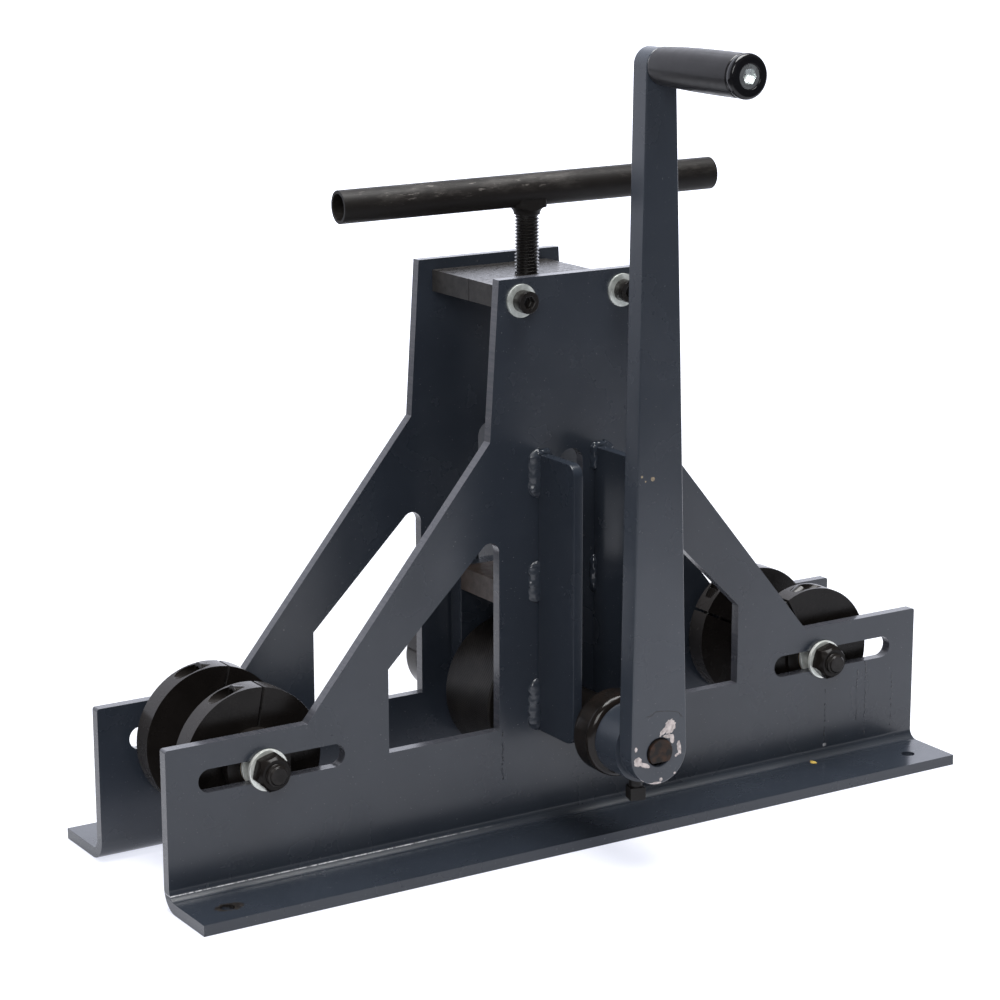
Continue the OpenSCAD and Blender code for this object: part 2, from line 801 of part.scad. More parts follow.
module grip_screw() {
  color(ZINC) at_grip() difference() {
    union() {
      translate([0, 0, -arm_t + 1]) cylinder(d = grip_thread_d, h = arm_t);
      cylinder(d = grip_pin_d, h = grip_seat + 1);
      translate([0, 0, grip_seat]) cylinder(d = grip_head_d, h = grip_head_h);
    }
    translate([0, 0, grip_seat + grip_head_h / 2])
      cylinder(d = grip_socket / cos(30), h = grip_head_h, $fn = 6);
  }
}

// Outer rollers, drawn about their axles

module on_left_axle() {
  translate([left_axle_x, 0, axle_z]) children();
}

module on_right_axle() {
  translate([right_axle_x, 0, axle_z]) children();
}

module axle_bolt() {
  end_y = washer_out_y + nut_h + bolt_proud;
  chamfer = 2;
  color(BLACK) {
    rod_y(axle_d, -end_y + chamfer, washer_out_y + 1);
    translate([0, -end_y + chamfer, 0]) rotate([90, 0, 0])
      cylinder(d1 = axle_d, d2 = axle_d - 2 * chamfer, h = chamfer);
    translate([0, washer_out_y, 0]) rotate([-90, 0, 0])
      hex_bar(axle_hex, bolt_head_h, axle_hex * 0.95, 1.5);
  }
}

module axle_nut() {
  color(BLACK) difference() {
    translate([0, -washer_out_y, 0]) rotate([90, nut_turn, 0])
      hex_bar(axle_hex, nut_h, nut_face_d, nut_bevel);
    rod_y(axle_d + 2 * seat_fit, -washer_out_y - nut_h - 1, -washer_out_y + 1);
  }
}

module axle_washers() {
  bore = axle_d + 2 * slide_gap;
  color(ZINC) for (face = [FRONT, BACK]) scale([1, face, 1]) {
    tube_y(axle_washer_d, bore, outer_y, washer_out_y);
    tube_y(axle_washer_d, bore, washer_in_y, inner_y);
  }
}

module axle_spacer() {
  color(ZINC) tube_y(spacer_d, axle_d + 2 * seat_fit, -washer_in_y, washer_in_y);
}

module roller_sleeve() {
  color(BLACK) tube_y(sleeve_d, sleeve_bush_d + 2 * seat_fit, -sleeve_half, sleeve_half);
}

module roller_bushes() {
  color(BRONZE) for (face = [FRONT, BACK]) scale([1, face, 1])
    tube_y(sleeve_bush_d, spacer_d + 2 * run_fit, sleeve_half - sleeve_bush_len, sleeve_half);
}

// Guide collars: the split is the plane x = 0, and the outer half lies at -x

collar_screw_r = collar_d / 2 - collar_screw_inset;

module collar_half() {
  pocket_d = CAP_HEAD * collar_screw_d + 1;
  color(BLACK) difference() {
    tube_y(collar_d, sleeve_d + 2 * seat_fit, 0, collar_w);
    translate([-split_gap / 2, -1, -collar_d]) cube([collar_d, collar_w + 2, 2 * collar_d]);
    translate([0, collar_w / 2, collar_screw_r]) {
      rod_x(collar_screw_d + 0.6, -collar_screw_seat - 1, 1);
      rod_x(pocket_d, -collar_d, -collar_screw_seat);
    }
    translate([0, collar_w / 2, -collar_screw_r])
      rod_x(collar_screw_d + 2 * seat_fit, -collar_screw_grip - 2, 1);
  }
}

module collar_screw_pair() {
  color(BLACK) for (turn = [0, 180]) rotate([0, turn, 0])
    translate([-collar_screw_seat, collar_w / 2, collar_screw_r]) rotate([0, -90, 0])
      cap_screw(collar_screw_d, collar_screw_seat + collar_screw_grip);
}

// Puts a collar on its sleeve: turn of the split, and the face towards the tube at half the tube gap
module collar_place(turn, face, tube_gap) {
  near_y = tube_gap / 2;
  start_y = face == BACK ? near_y : -near_y - collar_w;
  rotate([0, turn, 0]) translate([0, start_y, 0]) children();
}

module left_collar_place(turn, face) {
  on_left_axle() collar_place(turn, face, left_tube_gap) children();
}

module right_collar_place(turn, face) {
  on_right_axle() collar_place(turn, face, right_tube_gap) scale([-1, 1, 1]) children();
}

side_plate();  // front_plate
scale([1, -1, 1]) side_plate();  // back_plate
rail_at(LEFT, FRONT);  // front_left_rail
rail_at(RIGHT, FRONT);  // front_right_rail
rail_at(LEFT, BACK);  // back_left_rail
rail_at(RIGHT, BACK);  // back_right_rail
top_block();
block_screws();
block_washers();
press_bar();
scale([1, -1, 1]) leg();  // front_leg
leg();  // back_leg
leg_screws();
leg_bushes();
guide_bush(FRONT);  // front_guide_bush
guide_bush(BACK);  // back_guide_bush
thrust_washer();
press_screw();
tee_handle();
tee_weld_bead();
retaining_collar();
retaining_pin();
drive_shaft();
drive_roller();
roller_key();
thrust_ring(FRONT);  // front_thrust_ring
thrust_ring(BACK);  // back_thrust_ring
ring_set_screws();
crank_hub();
crank_arm();
crank_set_screw();
grip_screw();
grip();
on_left_axle() axle_bolt();  // left_axle_bolt
on_left_axle() axle_nut();  // left_axle_nut
on_left_axle() axle_washers();  // left_axle_washers
on_left_axle() axle_spacer();  // left_axle_spacer
on_right_axle() axle_bolt();  // right_axle_bolt
on_right_axle() axle_nut();  // right_axle_nut
on_right_axle() axle_washers();  // right_axle_washers
on_right_axle() axle_spacer();  // right_axle_spacer
on_left_axle() roller_sleeve();  // left_roller_sleeve
on_left_axle() roller_bushes();  // left_roller_bushes
on_right_axle() roller_sleeve();  // right_roller_sleeve
on_right_axle() roller_bushes();  // right_roller_bushes
left_collar_place(left_front_turn, FRONT) collar_half();  // left_front_collar_outer
left_collar_place(left_front_turn + 180, FRONT) collar_half();  // left_front_collar_inner
left_collar_place(left_front_turn, FRONT) collar_screw_pair();  // left_front_collar_screws
left_collar_place(left_back_turn, BACK) collar_half();  // left_back_collar_outer
left_collar_place(left_back_turn + 180, BACK) collar_half();  // left_back_collar_inner
left_collar_place(left_back_turn, BACK) collar_screw_pair();  // left_back_collar_screws
right_collar_place(right_front_turn, FRONT) collar_half();  // right_front_collar_outer
right_collar_place(right_front_turn + 180, FRONT) collar_half();  // right_front_collar_inner
right_collar_place(right_front_turn, FRONT) collar_screw_pair();  // right_front_collar_screws
right_collar_place(right_back_turn, BACK) collar_half();  // right_back_collar_outer
right_collar_place(right_back_turn + 180, BACK) collar_half();  // right_back_collar_inner
right_collar_place(right_back_turn, BACK) collar_screw_pair();  // right_back_collar_screws
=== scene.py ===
"""Looks of a three-roller tube bender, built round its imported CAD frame."""

import json
import math
import random

import bmesh
import bpy
from mathutils import Euler, Matrix, Vector, noise


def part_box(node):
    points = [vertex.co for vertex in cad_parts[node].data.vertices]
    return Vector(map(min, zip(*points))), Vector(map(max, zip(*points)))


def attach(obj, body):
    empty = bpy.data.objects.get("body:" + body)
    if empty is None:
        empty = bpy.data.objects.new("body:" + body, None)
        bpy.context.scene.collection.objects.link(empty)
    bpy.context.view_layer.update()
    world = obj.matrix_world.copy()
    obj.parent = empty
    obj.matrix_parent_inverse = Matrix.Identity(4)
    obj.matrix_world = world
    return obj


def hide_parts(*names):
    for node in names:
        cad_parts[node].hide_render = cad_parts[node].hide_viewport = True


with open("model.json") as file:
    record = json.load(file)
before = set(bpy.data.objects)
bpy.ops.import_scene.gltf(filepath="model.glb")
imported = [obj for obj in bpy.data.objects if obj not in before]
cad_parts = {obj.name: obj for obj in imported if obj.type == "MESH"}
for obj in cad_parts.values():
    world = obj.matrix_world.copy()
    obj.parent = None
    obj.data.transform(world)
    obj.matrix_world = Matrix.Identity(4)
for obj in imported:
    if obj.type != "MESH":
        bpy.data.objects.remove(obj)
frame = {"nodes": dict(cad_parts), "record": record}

bl_info = {
    "name": "Tube Bender Looks",
    "version": (1, 0, 0),
    "blender": (4, 5, 0),
    "location": "View3D > Sidebar > Tube Bender",
    "description": "Rounded, painted and textured pieces for a three-roller tube bender",
    "category": "Object",
}

MM = 0.001
NODES = frame["nodes"]
RECORD = frame["record"]
BODY_OF = {node: body for body, nodes in RECORD["behaviour"]["bodies"].items() for node in nodes}
COLLARS = ("left_front", "left_back", "right_front", "right_back")
SIDES = ("left", "right")
# Dark and pale tones of two metals that several pieces share
DULL_ZINC = ((0.5, 0.5, 0.48), (0.7, 0.7, 0.67))
BRONZE = ((0.36, 0.22, 0.1), (0.5, 0.33, 0.16))


# Settings

class TubeBenderPaint(bpy.types.PropertyGroup):
    """Paint of the plates, rails and crank."""

    colour: bpy.props.FloatVectorProperty(
        name="Colour", description="Colour of the paint", subtype="COLOR", size=3,
        default=(0.0165, 0.0205, 0.028), min=0, max=1)
    # Lighter than the plates' paint: painted light for the extra light the crank catches.
    arm_lit_colour: bpy.props.FloatVectorProperty(
        name="Arm colour", description="Colour of the crank's paint", subtype="COLOR", size=3,
        default=(0.024, 0.029, 0.038), min=0, max=1)
    roughness: bpy.props.FloatProperty(
        name="Roughness", description="Roughness of the paint", subtype="FACTOR",
        default=0.24, min=0, max=1)
    edge: bpy.props.FloatProperty(
        name="Edge", description="Width of the rounded edges of cut plate", unit="LENGTH",
        default=0.6 * MM, min=0.1 * MM, max=3 * MM)


class TubeBenderMetal(bpy.types.PropertyGroup):
    """Black and bright metal pieces."""

    black: bpy.props.FloatVectorProperty(
        name="Black", description="Colour of blackened steel", subtype="COLOR", size=3,
        default=(0.0065, 0.0055, 0.005), min=0, max=1)
    edge: bpy.props.FloatProperty(
        name="Edge", description="Width of the rounded edges of turned pieces", unit="LENGTH",
        default=0.5 * MM, min=0.1 * MM, max=3 * MM)
    thread_pitch: bpy.props.FloatProperty(
        name="Thread pitch", description="Pitch of the press screw's thread", unit="LENGTH",
        default=2.5 * MM, min=1 * MM, max=5 * MM)
    knurl_pitch: bpy.props.FloatProperty(
        name="Knurl pitch", description="Pitch of the drive roller's knurl", unit="LENGTH",
        default=1.8 * MM, min=0.5 * MM, max=5 * MM)


class TubeBenderStage(bpy.types.PropertyGroup):
    """Camera, lights and floor."""

    camera_at: bpy.props.FloatVectorProperty(
        name="Camera", description="Place of the camera", subtype="TRANSLATION", unit="LENGTH", size=3,
        default=(-1.1188, -1.7340, 0.7391))
    look_at: bpy.props.FloatVectorProperty(
        name="Target", description="Point in the middle of the picture", subtype="TRANSLATION",
        unit="LENGTH", size=3, default=(-0.01221, 0.0179, 0.23408))
    roll: bpy.props.FloatProperty(
        name="Roll", description="Roll of the camera", subtype="ANGLE", default=math.radians(-0.095))
    lens: bpy.props.FloatProperty(
        name="Lens", description="Focal length in millimetres on a 36 mm sensor", default=102.61, min=10)
    sky: bpy.props.FloatProperty(
        name="Sky", description="Strength of the even light of the room", default=0.15, min=0)
    paper: bpy.props.FloatProperty(
        name="Paper", description="Glow of the white paper under and behind the part", default=0.79, min=0)
    key: bpy.props.FloatProperty(
        name="Key", description="Power of the soft light at the front left", default=60, min=0)
    top: bpy.props.FloatProperty(
        name="Top", description="Power of the soft light above", default=110, min=0)


# Building pieces

def add_object(name, data):
    """A new object in the scene, from a mesh, a lamp or a camera."""
    piece = bpy.data.objects.new(name, data)
    bpy.context.scene.collection.objects.link(piece)
    return piece


def smooth(mesh, angle=32):
    """Smooth shading with sharp edges kept."""
    mesh.shade_smooth()
    mesh.set_sharp_from_angle(angle=math.radians(angle))


def stand_for(piece, node, material):
    """Puts a new piece in the place of a CAD node."""
    piece.data.materials.clear()
    piece.data.materials.append(material)
    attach(piece, BODY_OF[node])
    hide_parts(node)


def rounded(node, width, material, segments=2):
    """A copy of a CAD node with rounded edges, in its place."""
    shape = bmesh.new()
    shape.from_mesh(NODES[node].data)
    bmesh.ops.remove_doubles(shape, verts=shape.verts, dist=0.001 * MM)
    flat = math.radians(0.4)
    bmesh.ops.dissolve_limit(shape, angle_limit=flat, verts=shape.verts, edges=shape.edges)
    sharp = math.radians(28)
    edges = []
    for edge in shape.edges:
        if len(edge.link_faces) == 2 and edge.calc_face_angle() > sharp:
            edges.append(edge)
    bmesh.ops.bevel(shape, geom=edges, offset=width, offset_type="OFFSET", segments=segments,
                    profile=0.5, affect="EDGES", clamp_overlap=True)
    mesh = bpy.data.meshes.new(node + "_look")
    shape.to_mesh(mesh)
    shape.free()
    smooth(mesh)
    piece = add_object(node + "_look", mesh)
    flatten = piece.modifiers.new("Even faces", "WEIGHTED_NORMAL")
    flatten.keep_sharp = True
    stand_for(piece, node, material)


def painted(node, material):
    """Gives a CAD node its material and leaves its shape."""
    data = NODES[node].data
    data.materials.clear()
    data.materials.append(material)
    smooth(data)


def lathe(name, profile, segments=48):
    """A mesh turned from (radius, height) points about +Z."""
    shape = bmesh.new()
    rings = []
    for radius, height in profile:
        ring = []
        for step in range(segments):
            angle = 2 * math.pi * step / segments
            ring.append(shape.verts.new((radius * math.cos(angle), radius * math.sin(angle), height)))
        rings.append(ring)
    for low, high in zip(rings, rings[1:]):
        for step in range(segments):
            after = (step + 1) % segments
            shape.faces.new((low[step], low[after], high[after], high[step]))
    bmesh.ops.recalc_face_normals(shape, faces=shape.faces)
    mesh = bpy.data.meshes.new(name)
    shape.to_mesh(mesh)
    shape.free()
    smooth(mesh)
    return mesh


def thread_mesh(name, radius, pitch, low, high, depth, steps=32):
    """An upright screw thread with closed ends, about the Z axis."""
    shape = bmesh.new()
    crest = pitch / 8
    flank = pitch * 3 / 8
    root = radius - depth
    core = radius - depth * 0.98
    levels = ((root, 0), (radius, flank), (radius, flank + crest), (root, 2 * flank + crest))
    turns = (high - low) / pitch - 1
    rows = []
    for count in range(int(turns * steps) + 1):
        angle = 2 * math.pi * count / steps
        lift = low + pitch * count / steps
        fade = max(0, min(1, count / steps, (turns * steps - count) / steps))
        row = []
        for full_reach, rise in levels:
            reach = root + (full_reach - root) * fade
            row.append(shape.verts.new((reach * math.cos(angle), reach * math.sin(angle), lift + rise)))
        rows.append(row)
    for one, two in zip(rows, rows[1:]):
        for part in range(len(levels) - 1):
            shape.faces.new((one[part], two[part], two[part + 1], one[part + 1]))
    bmesh.ops.create_cone(
        shape, cap_ends=True, segments=steps * 2, radius1=core, radius2=core, depth=high - low,
        matrix=Matrix.Translation((0, 0, (low + high) / 2)))
    mesh = bpy.data.meshes.new(name)
    shape.to_mesh(mesh)
    shape.free()
    smooth(mesh)
    return mesh


def weld_bead(name, start, end, along_plate, off_plate, legs, seed):
    """A lumpy fillet weld in the corner between two faces, with one leg on each."""
    dice = random.Random(seed)
    start, end = Vector(start), Vector(end)
    along_plate, off_plate = Vector(along_plate) * legs[0], Vector(off_plate) * legs[1]
    length = (end - start).length
    step_len = 0.6 * MM
    ripple_len = 7.5 * MM
    lumps_per_m = 140
    fullness, ripple_share, lump_share = 0.84, 0.04, 0.18
    taper = 7
    count = int(length / step_len)
    arc = 10
    shape = bmesh.new()
    rows = []
    shift = dice.uniform(0, 10)
    for step in range(count + 1):
        share = step / count
        close = min(1, taper * share, taper * (1 - share))
        centre = start.lerp(end, share)
        row = [shape.verts.new(centre)]
        for part in range(arc + 1):
            turn = math.pi / 2 * part / arc
            wave = math.sin(2 * math.pi * share * length / ripple_len + 2.2 * math.sin(2 * turn))
            rough = noise.noise(centre * lumps_per_m + Vector((shift, turn, 0)))
            belly = fullness + ripple_share * wave + lump_share * rough * math.sin(2 * turn + 0.4)
            size = math.sqrt(max(0.03, close)) * belly
            row.append(shape.verts.new(
                centre + size * (math.cos(turn) * along_plate + math.sin(turn) * off_plate)))
        rows.append(row)
    for one, two in zip(rows, rows[1:]):
        for part in range(len(one)):
            after = (part + 1) % len(one)
            shape.faces.new((one[part], one[after], two[after], two[part]))
    shape.faces.new(rows[0])
    shape.faces.new(rows[-1])
    bmesh.ops.recalc_face_normals(shape, faces=shape.faces)
    mesh = bpy.data.meshes.new(name)
    shape.to_mesh(mesh)
    shape.free()
    smooth(mesh, 60)
    return mesh


# Materials

def add_node(tree, kind, inputs=None, **settings):
    """A new shader node with its settings, values and links."""
    made = tree.nodes.new(kind)
    for key, value in settings.items():
        setattr(made, key, value)
    for key, value in (inputs or {}).items():
        if isinstance(value, bpy.types.NodeSocket):
            tree.links.new(value, made.inputs[key])
        else:
            made.inputs[key].default_value = value
    return made


def place_of(tree):
    """Object coordinates: the row frame in metres, carried along with the piece."""
    return add_node(tree, "ShaderNodeTexCoord").outputs["Object"]


def grain(tree, scale, detail=4, roughness=0.55, stretch=(1, 1, 1)):
    """Noise between 0 and 1 at a scale in cycles per metre."""
    spread = add_node(tree, "ShaderNodeVectorMath", {0: place_of(tree), 1: stretch}, operation="MULTIPLY")
    speckle = add_node(tree, "ShaderNodeTexNoise", {
        "Vector": spread.outputs[0], "Scale": scale, "Detail": detail, "Roughness": roughness})
    return speckle.outputs["Fac"]


def between(tree, value, low, high, to_low=0, to_high=1):
    """A value mapped from one range to another, clamped."""
    return add_node(tree, "ShaderNodeMapRange", {
        "Value": value, "From Min": low, "From Max": high, "To Min": to_low, "To Max": to_high}).outputs[0]


def sums(tree, kind, one, two):
    """One arithmetic step."""
    return add_node(tree, "ShaderNodeMath", {0: one, 1: two}, operation=kind).outputs[0]


def tint(tree, share, one, two):
    """A mix of two colours."""
    mix = add_node(tree, "ShaderNodeMix", {"Factor": share}, data_type="RGBA")
    for socket, value in ((mix.inputs[6], one), (mix.inputs[7], two)):
        if isinstance(value, bpy.types.NodeSocket):
            tree.links.new(value, socket)
        else:
            socket.default_value = (*value, 1)
    return mix.outputs[2]


def bumps(tree, height, strength, distance=0.1 * MM, under=None):
    """A bump normal from a height, over another bump if there is one."""
    inputs = {"Height": height, "Strength": strength, "Distance": distance}
    if under is not None:
        inputs["Normal"] = under
    return add_node(tree, "ShaderNodeBump", inputs).outputs[0]


def new_material(name):
    """An empty material with a principled shader, and its node tree."""
    material = bpy.data.materials.new(name)
    material.use_nodes = True
    tree = material.node_tree
    return material, tree, tree.nodes["Principled BSDF"]


def set_shader(tree, shader, inputs):
    """Sets or links inputs of a principled shader, given with underscores for spaces."""
    for key, value in inputs.items():
        socket = shader.inputs[key.replace("_", " ")]
        if isinstance(value, bpy.types.NodeSocket):
            tree.links.new(value, socket)
        elif isinstance(value, tuple) and len(value) == 3 and socket.type == "RGBA":
            socket.default_value = (*value, 1)
        else:
            socket.default_value = value


def axes_of(tree, vector):
    """The X, Y and Z of a vector."""
    return add_node(tree, "ShaderNodeSeparateXYZ", {0: vector}).outputs


def place_axes(tree):
    """The X, Y and Z of the object coordinates."""
    return axes_of(tree, place_of(tree))


def facing_axes(tree):
    """The X, Y and Z of the way a face looks."""
    return axes_of(tree, add_node(tree, "ShaderNodeTexCoord").outputs["Normal"])


def strip_mask(tree, value, middle, half, soft):
    """1 where a value is within half of its middle, and 0 outside."""
    away = sums(tree, "ABSOLUTE", sums(tree, "SUBTRACT", value, middle), 0)
    return between(tree, away, half + soft, half)


def product(tree, *masks):
    """Several masks multiplied together."""
    result = masks[0]
    for mask in masks[1:]:
        result = sums(tree, "MULTIPLY", result, mask)
    return result


def patch_mask(tree, patches):
    """Ragged ovals, 1 inside: each a centre, half sizes and a tilt about Y, in mm and degrees."""
    place = place_of(tree)
    ragged = sums(tree, "SUBTRACT", grain(tree, 520, 3), 0.5)
    joined = None
    for centre, half, tilt in patches:
        oval = add_node(tree, "ShaderNodeMapping", {
            "Vector": place, "Location": Vector(centre) * MM, "Rotation": (0, math.radians(tilt), 0),
            "Scale": Vector(half) * MM}, vector_type="TEXTURE")
        reach = add_node(tree, "ShaderNodeVectorMath", {0: oval.outputs[0]}, operation="LENGTH")
        edge = sums(tree, "ADD", reach.outputs["Value"], ragged)
        mask = between(tree, edge, 1.08, 0.96)
        joined = mask if joined is None else sums(tree, "MAXIMUM", joined, mask)
    return joined


def chip_layer(patches, dark, pale):
    """A layer of chips, drops or stains on a paint, mottled between two tones."""
    def layer(tree, tone):
        bare = tint(tree, between(tree, grain(tree, 330, 3), 0.35, 0.6), dark, pale)
        return tint(tree, patch_mask(tree, patches), tone, bare)
    return layer


def cut_edge_highlight_layer(tree, tone):
    """Painted highlight: paler paint on the cut edges of a plate, for the light they catch from the left
    and above, with fine lines across them.
    """
    facing = facing_axes(tree)
    edge = between(tree, sums(tree, "ABSOLUTE", facing[1], 0), 0.55, 0.25)
    above = between(tree, place_axes(tree)[2], 16 * MM, 20 * MM)
    lines = between(tree, grain(tree, 420, 3, 0.6, (1, 0.04, 1)), 0.3, 0.7, 0.35, 1)
    # The pale edge tone is painted light, not a colour of the paint.
    return tint(tree, product(tree, edge, above, lines), tone, (0.053, 0.053, 0.061))


def bend_line_layer(tree, tone):
    """A thin rubbed line along the bend of the foot, worn through on the left."""
    place = place_axes(tree)
    line = strip_mask(tree, place[2], 11.4 * MM, 0.22 * MM, 0.15 * MM)
    left = between(tree, place[0], -60 * MM, -140 * MM)
    broken = between(tree, grain(tree, 160, 4, 0.7, (1, 0, 0)), 0.42, 0.55, 0.15, 1)
    return tint(tree, product(tree, line, left, broken), tone, (0.45, 0.45, 0.47))


def run_mask(tree, runs):
    """Beaded runs of thick paint down a plate: each is a place along X and two heights, in mm."""
    place = place_axes(tree)
    wander = between(tree, grain(tree, 120, 2), 0.2, 0.8, -1.2 * MM, 1.2 * MM)
    across = sums(tree, "ADD", place[0], wander)
    beads = between(tree, grain(tree, 420, 3, 0.6, (0.6, 1, 1)), 0.47, 0.6)
    joined = 0
    for along, low, high in runs:
        line = strip_mask(tree, across, along * MM, 0.4 * MM, 0.5 * MM)
        span = strip_mask(tree, place[2], (low + high) / 2 * MM, (high - low) / 2 * MM, 2 * MM)
        joined = sums(tree, "MAXIMUM", product(tree, line, span, beads), joined)
    return joined


def fold_layer(tree, tone):
    """A dark wavy fold of paint above the shaft on the crank arm."""
    place = place_of(tree)
    shaft_height = 88 * MM
    flat = add_node(tree, "ShaderNodeMapping", {
        "Vector": place, "Location": (0, 0, shaft_height), "Scale": (1, 1000, 1)}, vector_type="TEXTURE")
    away = add_node(tree, "ShaderNodeVectorMath", {0: flat.outputs[0]}, operation="LENGTH")
    reach = away.outputs["Value"]
    wander = between(tree, grain(tree, 90, 2), 0.25, 0.75, -2.4 * MM, 2.4 * MM)
    line = strip_mask(tree, sums(tree, "ADD", reach, wander), 30.5 * MM, 0.3 * MM, 0.5 * MM)
    axes = axes_of(tree, place)
    span = strip_mask(tree, axes[0], 4 * MM, 14 * MM, 3 * MM)
    above = between(tree, axes[2], 100 * MM, 104 * MM)
    return tint(tree, product(tree, line, span, above, 0.8), tone, (0.006, 0.007, 0.009))


def bend_mask(tree):
    """1 along the inside of the bend of the foot, and 0 elsewhere."""
    return strip_mask(tree, place_axes(tree)[2], 10.4 * MM, 1.2 * MM, 0.9 * MM)


def paint_material(settings, name, colour, layers=(), gloss=0, shine=0.5, runs=(), dull=None):
    """Satin paint with orange peel, faint clouds and specks, and layers of marks and runs over it."""
    material, tree, shader = new_material(name)
    base = tuple(colour)
    pale = tuple(channel * 1.3 + 0.003 for channel in base)
    cloud = between(tree, grain(tree, 9, 4, 0.6), 0.4, 0.7)
    tone = tint(tree, sums(tree, "MULTIPLY", cloud, 0.5), base, pale)
    speck = between(tree, grain(tree, 700, 2, 0.5), 0.735, 0.755)
    tone = tint(tree, sums(tree, "MULTIPLY", speck, 0.5), tone, (0.16, 0.16, 0.17))
    for layer in layers:
        tone = layer(tree, tone)
    middle = settings.roughness - gloss
    rough = between(tree, grain(tree, 22, 4), 0.3, 0.7, middle - 0.03, middle + 0.06)
    if dull:
        rough = sums(tree, "ADD", rough, sums(tree, "MULTIPLY", dull(tree), 0.2))
    peel = bumps(tree, grain(tree, 380, 3, 0.5), 0.1, 0.05 * MM)
    wave = bumps(tree, grain(tree, 45, 2, 0.4), 0.08, 0.4 * MM, peel)
    if runs:
        drips = run_mask(tree, runs)
        tone = tint(tree, sums(tree, "MULTIPLY", drips, 0.7), tone, (0.004, 0.005, 0.007))
        wave = bumps(tree, drips, 0.5, 0.5 * MM, wave)
    set_shader(tree, shader, {
        "Base_Color": tone, "Roughness": rough, "Specular_IOR_Level": shine, "Normal": wave})
    return material


def black_material(settings, name, roughness=0.3, shine=0.14, rust=0.0, rim_highlight=0.0):
    """Blackened steel with a thin oily sheen, a little rust and a painted highlight that makes the rim
    paler.
    """
    material, tree, shader = new_material(name)
    base = tuple(settings.black)
    grey = tuple(channel * 1.9 + 0.002 for channel in base)
    cloud = between(tree, grain(tree, 40, 4, 0.6), 0.4, 0.75)
    tone = tint(tree, sums(tree, "MULTIPLY", cloud, 0.5), base, grey)
    if rust:
        spread = between(tree, grain(tree, 120, 4), 0.42, 0.62)
        tone = tint(tree, sums(tree, "MULTIPLY", spread, rust), tone, (0.075, 0.034, 0.016))
    # Painted highlight: the rim faces, which don't look along Y, are made paler for the light they catch
    # from the lamps.
    if rim_highlight:
        facing = facing_axes(tree)
        edge = between(tree, sums(tree, "ABSOLUTE", facing[1], 0), 0.6, 0.3)
        tone = tint(tree, sums(tree, "MULTIPLY", edge, rim_highlight), tone, (0.06, 0.057, 0.058))
    rough = between(tree, grain(tree, 70, 4), 0.3, 0.7, roughness - 0.04, roughness + 0.07)
    normal = bumps(tree, grain(tree, 700, 3), 0.1, 0.04 * MM)
    set_shader(tree, shader, {
        "Base_Color": tone, "Roughness": rough, "Specular_IOR_Level": shine, "Normal": normal})
    return material


def bright_material(name, low, high, roughness, metallic=1.0, scale=220):
    """Bare or plated metal with cloudy tone and fine scratches."""
    material, tree, shader = new_material(name)
    cloud = between(tree, grain(tree, scale, 4, 0.6), 0.3, 0.7)
    rough = between(tree, grain(tree, scale * 1.7, 3), 0.3, 0.7, roughness - 0.08, roughness + 0.1)
    normal = bumps(tree, grain(tree, scale * 5, 3), 0.2, 0.04 * MM)
    set_shader(tree, shader, {
        "Base_Color": tint(tree, cloud, low, high), "Roughness": rough, "Metallic": metallic,
        "Normal": normal})
    return material


def scale_material(settings):
    """Black mill scale with grey streaks and scuffs along the tube's upper side, partly rubbed wear and
    partly a painted highlight where the top light falls.
    """
    material, tree, shader = new_material("mill_scale")
    facing = facing_axes(tree)
    lit_top = between(tree, facing[2], -0.1, 0.5)
    streak_and_sheen = between(tree, grain(tree, 75, 5, 0.75, (0.3, 1, 1)), 0.5, 0.72)
    scuff_and_highlight = between(tree, grain(tree, 420, 3, 0.7, (0.25, 1, 1)), 0.6, 0.7)
    middle = strip_mask(tree, place_axes(tree)[0], -60 * MM, 55 * MM, 40 * MM)
    base = tuple(settings.black)
    # Streaks and scuffs only on faces that look up: rubbed wear with a painted highlight in it.
    tone = tint(tree, product(tree, streak_and_sheen, lit_top, 0.7), base, (0.05, 0.046, 0.043))
    tone = tint(tree, product(tree, scuff_and_highlight, lit_top, middle, 0.6), tone, (0.14, 0.13, 0.12))
    rough = between(tree, grain(tree, 60, 4), 0.3, 0.7, 0.42, 0.56)
    normal = bumps(tree, grain(tree, 260, 4, 0.65), 0.2, 0.08 * MM)
    set_shader(tree, shader, {
        "Base_Color": tone, "Roughness": rough, "Specular_IOR_Level": 0.15, "Normal": normal})
    return material


def knurl_material(settings):
    """Black steel with fine ridges that climb round the drive roller."""
    material, tree, shader = new_material("knurl")
    low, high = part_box("drive_roller")
    middle = (low + high) / 2
    radius = (high.x - low.x) / 2
    place = place_axes(tree)
    across = sums(tree, "SUBTRACT", place[0], middle.x)
    height = sums(tree, "SUBTRACT", place[2], middle.z)
    turn = sums(tree, "ARCTAN2", height, across)
    round_way = sums(tree, "MULTIPLY", turn, radius)
    slant = sums(tree, "ADD", round_way, sums(tree, "MULTIPLY", place[1], 0.58))
    ridge = sums(tree, "SINE", sums(tree, "MULTIPLY", slant, 2 * math.pi / settings.knurl_pitch), 0)
    normal = bumps(tree, ridge, 0.6, 0.12 * MM)
    cloud = between(tree, grain(tree, 60, 4), 0.4, 0.7)
    tone = tint(tree, sums(tree, "MULTIPLY", cloud, 0.4), tuple(settings.black), (0.02, 0.018, 0.016))
    set_shader(tree, shader, {
        "Base_Color": tone, "Roughness": 0.4, "Specular_IOR_Level": 0.12, "Normal": normal})
    return material


